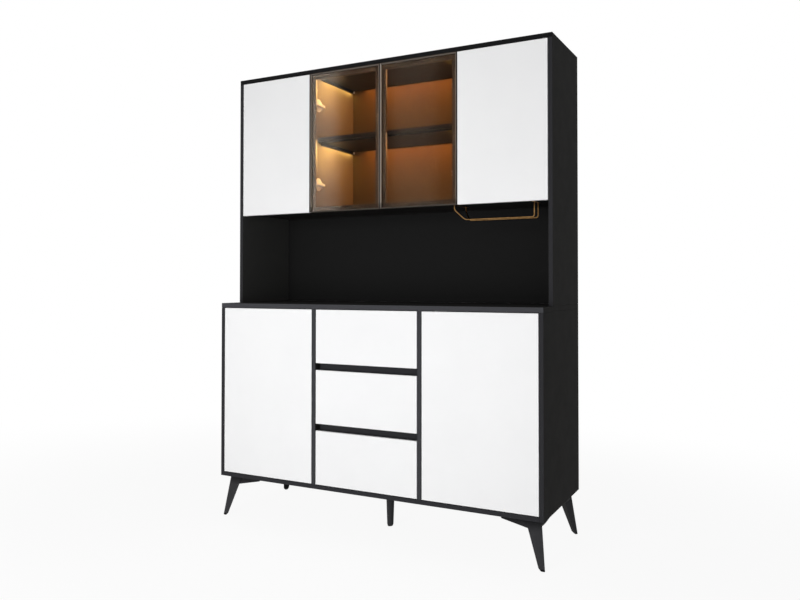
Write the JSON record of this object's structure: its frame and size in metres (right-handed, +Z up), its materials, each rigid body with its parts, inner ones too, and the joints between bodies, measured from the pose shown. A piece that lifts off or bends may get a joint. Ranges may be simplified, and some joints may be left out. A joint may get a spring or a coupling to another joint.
{
  "type": "china cabinet",
  "caption": "Black and white china cabinet on splayed metal legs: cupboards and drawers below, an open niche with a stemware rack, and a hutch with white and lit glass doors above.",
  "frame": {"origin": "centre of the footprint, on the floor", "axes": "+Z up, -Y out of the front, +X to the viewer's right when facing the front"},
  "size_m": [1.6, 0.4, 2.034],
  "materials": {
    "black_board": "satin black foil on board",
    "back_board": "matt black thin board",
    "white_front": "white lacquer with a soft sheen",
    "drawer_board": "grey melamine",
    "leg_metal": "satin black paint",
    "frame_metal": "taupe anodised",
    "bronze_glass": "bronze tinted, clear",
    "aged_brass": "aged, satin",
    "hinge_steel": "nickel plated",
    "slide_steel": "zinc plated",
    "warm_light": "frosted warm diffuser"
  },
  "bodies": {
    "carcass": {"base_left_side": "black_board", "base_right_side": "black_board", "worktop": "black_board", "base_floor": "black_board", "base_left_divider": "black_board", "base_right_divider": "black_board", "base_back": "back_board", "base_left_shelf": "black_board", "base_right_shelf": "black_board", "lower_drawer_rail": "black_board", "upper_drawer_rail": "black_board", "hutch_left_side": "black_board", "hutch_right_side": "black_board", "hutch_top": "black_board", "hutch_floor": "black_board", "hutch_left_divider": "black_board", "hutch_right_divider": "black_board", "hutch_back": "back_board", "hutch_left_shelf": "black_board", "hutch_right_shelf": "black_board", "hutch_centre_shelf": "black_board", "light_bar": "warm_light", "stemware_rack": "aged_brass", "front_left_leg": "leg_metal", "front_right_leg": "leg_metal", "rear_left_leg": "leg_metal", "rear_right_leg": "leg_metal", "centre_leg": "leg_metal", "lower_drawer_left_slide": "slide_steel", "lower_drawer_right_slide": "slide_steel", "middle_drawer_left_slide": "slide_steel", "middle_drawer_right_slide": "slide_steel", "upper_drawer_left_slide": "slide_steel", "upper_drawer_right_slide": "slide_steel", "base_left_lower_hinge": "hinge_steel", "base_left_upper_hinge": "hinge_steel", "base_right_lower_hinge": "hinge_steel", "base_right_upper_hinge": "hinge_steel", "hutch_left_lower_hinge": "hinge_steel", "hutch_left_upper_hinge": "hinge_steel", "hutch_right_lower_hinge": "hinge_steel", "hutch_right_upper_hinge": "hinge_steel", "glass_left_lower_hinge": "hinge_steel", "glass_left_upper_hinge": "hinge_steel", "glass_right_lower_hinge": "hinge_steel", "glass_right_upper_hinge": "hinge_steel"},
    "base_left_door": {"base_left_door": "white_front"},
    "hutch_left_door": {"hutch_left_door": "white_front"},
    "glass_left_door": {"glass_left_door_frame": "frame_metal", "glass_left_door_pane": "bronze_glass"},
    "base_right_door": {"base_right_door": "white_front"},
    "hutch_right_door": {"hutch_right_door": "white_front"},
    "glass_right_door": {"glass_right_door_frame": "frame_metal", "glass_right_door_pane": "bronze_glass"},
    "lower_drawer": {"lower_drawer_front": "white_front", "lower_drawer_box": "drawer_board"},
    "middle_drawer": {"middle_drawer_front": "white_front", "middle_drawer_box": "drawer_board"},
    "upper_drawer": {"upper_drawer_front": "white_front", "upper_drawer_box": "drawer_board"}
  },
  "joints": [
    {"name": "base_left_door_hinge", "type": "hinge", "parent": "carcass", "child": "base_left_door", "pos_m": [-0.7795, -0.2, 0.579], "axis": [0, 0, -1], "range_deg": [0, 100]},
    {"name": "hutch_left_door_hinge", "type": "hinge", "parent": "carcass", "child": "hutch_left_door", "pos_m": [-0.7795, -0.1, 1.6998], "axis": [0, 0, -1], "range_deg": [0, 100]},
    {"name": "glass_left_door_hinge", "type": "hinge", "parent": "carcass", "child": "glass_left_door", "pos_m": [-0.3775, -0.1, 1.6998], "axis": [0, 0, -1], "range_deg": [0, 100]},
    {"name": "base_right_door_hinge", "type": "hinge", "parent": "carcass", "child": "base_right_door", "pos_m": [0.7795, -0.2, 0.579], "axis": [0, 0, 1], "range_deg": [0, 100]},
    {"name": "hutch_right_door_hinge", "type": "hinge", "parent": "carcass", "child": "hutch_right_door", "pos_m": [0.7795, -0.1, 1.6998], "axis": [0, 0, 1], "range_deg": [0, 100]},
    {"name": "glass_right_door_hinge", "type": "hinge", "parent": "carcass", "child": "glass_right_door", "pos_m": [0.3775, -0.1, 1.6998], "axis": [0, 0, 1], "range_deg": [0, 100]},
    {"name": "lower_drawer_slide", "type": "slide", "parent": "carcass", "child": "lower_drawer", "axis": [0, -1, 0], "range_m": [0, 0.26]},
    {"name": "middle_drawer_slide", "type": "slide", "parent": "carcass", "child": "middle_drawer", "axis": [0, -1, 0], "range_m": [0, 0.26]},
    {"name": "upper_drawer_slide", "type": "slide", "parent": "carcass", "child": "upper_drawer", "axis": [0, -1, 0], "range_m": [0, 0.26]}
  ]
}
